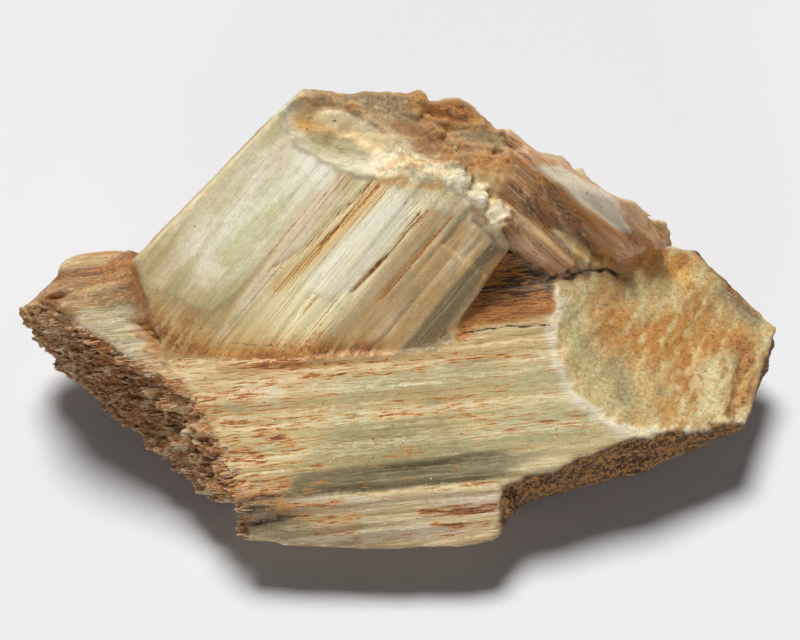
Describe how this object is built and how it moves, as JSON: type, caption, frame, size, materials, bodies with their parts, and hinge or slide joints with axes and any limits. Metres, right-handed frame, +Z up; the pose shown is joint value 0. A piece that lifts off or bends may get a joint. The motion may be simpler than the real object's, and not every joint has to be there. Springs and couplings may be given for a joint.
{
  "type": "diaspore crystal",
  "caption": "Hand specimen of intergrown prismatic diaspore crystals, striated along their length and torn at one end, resting on a level underside.",
  "frame": {"origin": "on the surface the specimen rests on, below the middle of its bounding box", "axes": "+X along the length of the long base crystal towards its blunt broken end, +Z up"},
  "size_m": [0.0619, 0.0349, 0.0278],
  "materials": {
    "crystal": "striated pale green-cream crystal with rust-brown staining, vitreous to pearly"
  },
  "bodies": {
    "root": {"diaspore_crystal": "crystal"}
  },
  "joints": []
}
